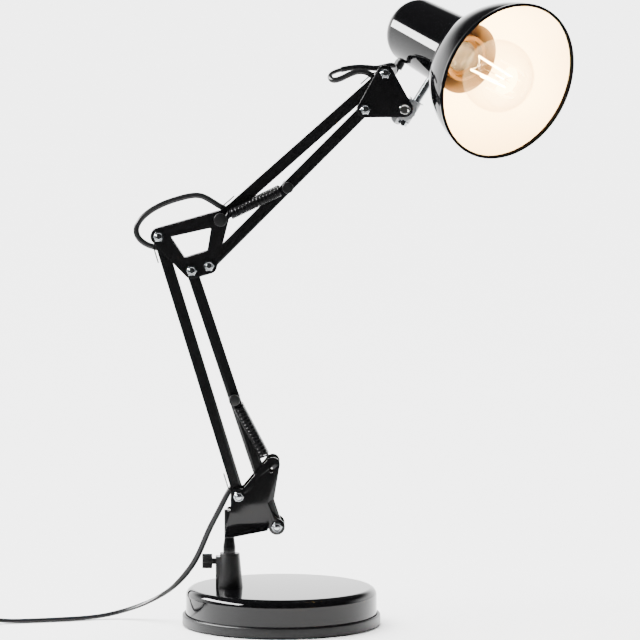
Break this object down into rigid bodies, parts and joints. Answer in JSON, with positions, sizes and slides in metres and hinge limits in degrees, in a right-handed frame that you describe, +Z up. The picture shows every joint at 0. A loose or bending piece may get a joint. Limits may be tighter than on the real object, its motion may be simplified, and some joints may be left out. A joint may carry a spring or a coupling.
{
  "type": "desk lamp",
  "caption": "Balanced-arm desk lamp: weighted round base, clamp post, sprung square-tube arms, elbow, tilting and turning bell shade with a screw-base bulb, corded.",
  "frame": {"origin": "middle of the base's underside, on the floor", "axes": "+Z up; the arms lie in the plane Y = 0 and reach to +X; the shade is turned to -Y"},
  "size_m": [0.5953, 0.2764, 0.5215],
  "materials": {
    "gloss_black_steel": "gloss",
    "black_steel": "semi gloss",
    "cast_iron_weight": "rough",
    "foam_pad": "matte",
    "zinc_steel": "zinc plated",
    "chrome": "polished",
    "zinc_casting": "cast",
    "black_plastic": "satin",
    "nylon": "matte",
    "spring_steel": "black lacquer",
    "holder_plastic": "satin",
    "brass": "satin",
    "glass": "clear",
    "cap_metal": "satin",
    "filament": "phosphor",
    "cord_sheath": "satin",
    "tie_plastic": "matte"
  },
  "bodies": {
    "base": {"base_tray": "black_steel", "base_cover": "gloss_black_steel", "ballast": "cast_iron_weight", "foot_pad": "foam_pad", "tie_screw": "zinc_steel", "clamp_post": "black_plastic", "post_screw": "zinc_steel", "clamp_nut": "zinc_steel", "supply_cord": "cord_sheath", "switch_lower_case": "black_plastic", "switch_upper_case": "black_plastic", "cord_coil": "cord_sheath", "coil_tie": "tie_plastic", "plug_body": "black_plastic", "plug_pins": "chrome"},
    "thumbscrew": {"thumbscrew": "black_plastic"},
    "swivel_bracket": {"bracket": "black_steel", "bracket_bolts": "zinc_steel", "bracket_nuts": "zinc_steel", "bracket_spacers": "nylon", "lower_spring_front": "spring_steel", "lower_spring_rear": "spring_steel"},
    "rear_bar": {"lower_rear_bar": "black_steel", "lower_bar_cord": "cord_sheath"},
    "front_bar": {"lower_front_bar": "black_steel", "lower_spring_pin": "black_plastic"},
    "elbow": {"elbow_plate_front": "black_steel", "elbow_plate_rear": "black_steel", "elbow_bolts": "zinc_steel", "elbow_nuts": "zinc_steel", "elbow_washers": "nylon", "elbow_spring_pin": "black_plastic", "upper_spring_front": "spring_steel", "upper_spring_rear": "spring_steel", "elbow_cord": "cord_sheath"},
    "top_bar": {"upper_top_bar": "black_steel", "upper_bar_cord": "cord_sheath"},
    "bottom_bar": {"upper_bottom_bar": "black_steel", "upper_spring_pin": "black_plastic"},
    "head_bracket": {"head_plate_front": "black_steel", "head_plate_rear": "black_steel", "head_bolts": "zinc_steel", "head_nuts": "zinc_steel", "head_washers": "nylon", "tilt_bolt": "chrome", "head_cord": "cord_sheath"},
    "knuckle": {"knuckle": "zinc_casting"},
    "shade_head": {"swivel_stud": "zinc_steel", "swivel_spacer": "zinc_steel", "swivel_fasteners": "zinc_steel", "shade": "gloss_black_steel", "holder_bracket": "zinc_steel", "lampholder": "holder_plastic", "holder_contacts": "brass", "bulb_glass": "glass", "bulb_cap": "cap_metal", "bulb_filaments": "filament", "cord_gland": "black_plastic"},
    "rocker": {"switch_rocker": "black_plastic"}
  },
  "joints": [
    {"name": "clamp_turn", "type": "hinge", "parent": "base", "child": "thumbscrew", "pos_m": [-0.0664, 0, 0.0533], "axis": [-1, 0, 0], "range_deg": [-180, 0]},
    {"name": "base_swivel", "type": "hinge", "parent": "base", "child": "swivel_bracket", "pos_m": [-0.0435, 0, 0.06], "axis": [0, 0, 1], "range_deg": [-150, 150], "deforming": ["supply_cord"]},
    {"name": "lower_arm", "type": "hinge", "parent": "swivel_bracket", "child": "rear_bar", "pos_m": [-0.0355, 0, 0.1095], "axis": [0, 1, 0], "range_deg": [-6, 38], "deforming": ["lower_spring_front", "lower_spring_rear", "supply_cord", "elbow_cord"]},
    {"name": "lower_front_pivot", "type": "hinge", "parent": "swivel_bracket", "child": "front_bar", "pos_m": [-0.00387, 0, 0.08389], "axis": [0, 1, 0], "range_deg": [-6.43, 39.15], "deforming": ["lower_spring_front", "lower_spring_rear"]},
    {"name": "elbow_pivot", "type": "hinge", "parent": "rear_bar", "child": "elbow", "pos_m": [-0.10163, 0, 0.32582], "axis": [0, 1, 0], "range_deg": [-43.06, 7.05], "deforming": ["elbow_cord"]},
    {"name": "upper_arm", "type": "hinge", "parent": "elbow", "child": "top_bar", "pos_m": [-0.05023, 0, 0.34027], "axis": [0, 1, 0], "range_deg": [0, 30], "deforming": ["upper_spring_front", "upper_spring_rear", "elbow_cord", "head_cord"]},
    {"name": "upper_lower_pivot", "type": "hinge", "parent": "elbow", "child": "bottom_bar", "pos_m": [-0.05997, 0, 0.30147], "axis": [0, 1, 0], "range_deg": [-0.3, 32.15], "deforming": ["upper_spring_front", "upper_spring_rear"]},
    {"name": "head_pivot", "type": "hinge", "parent": "top_bar", "child": "head_bracket", "pos_m": [0.08623, 0, 0.461], "axis": [0, 1, 0], "range_deg": [-43.56, 0.3], "deforming": ["head_cord"]},
    {"name": "head_tilt", "type": "hinge", "parent": "head_bracket", "child": "knuckle", "pos_m": [0.10247, 0, 0.43146], "axis": [0, 1, 0], "range_deg": [-3, 60], "deforming": ["head_cord"]},
    {"name": "shade_swivel", "type": "hinge", "parent": "knuckle", "child": "shade_head", "pos_m": [0.10669, 0, 0.42879], "axis": [0.5344, 0, 0.8453], "range_deg": [-30, 30], "deforming": ["head_cord"]},
    {"name": "switch_rock", "type": "hinge", "parent": "base", "child": "rocker", "pos_m": [-0.28, 0.004, 0.012], "axis": [0, 1, 0], "range_deg": [-6, 6]}
  ],
  "couplings": [
    {"joint": "lower_front_pivot", "follows": "lower_arm", "ratio": 1.0224},
    {"joint": "elbow_pivot", "follows": "lower_arm", "ratio": -1.1252},
    {"joint": "upper_lower_pivot", "follows": "upper_arm", "ratio": 1.0616},
    {"joint": "head_pivot", "follows": "upper_arm", "ratio": -1.4419}
  ]
}
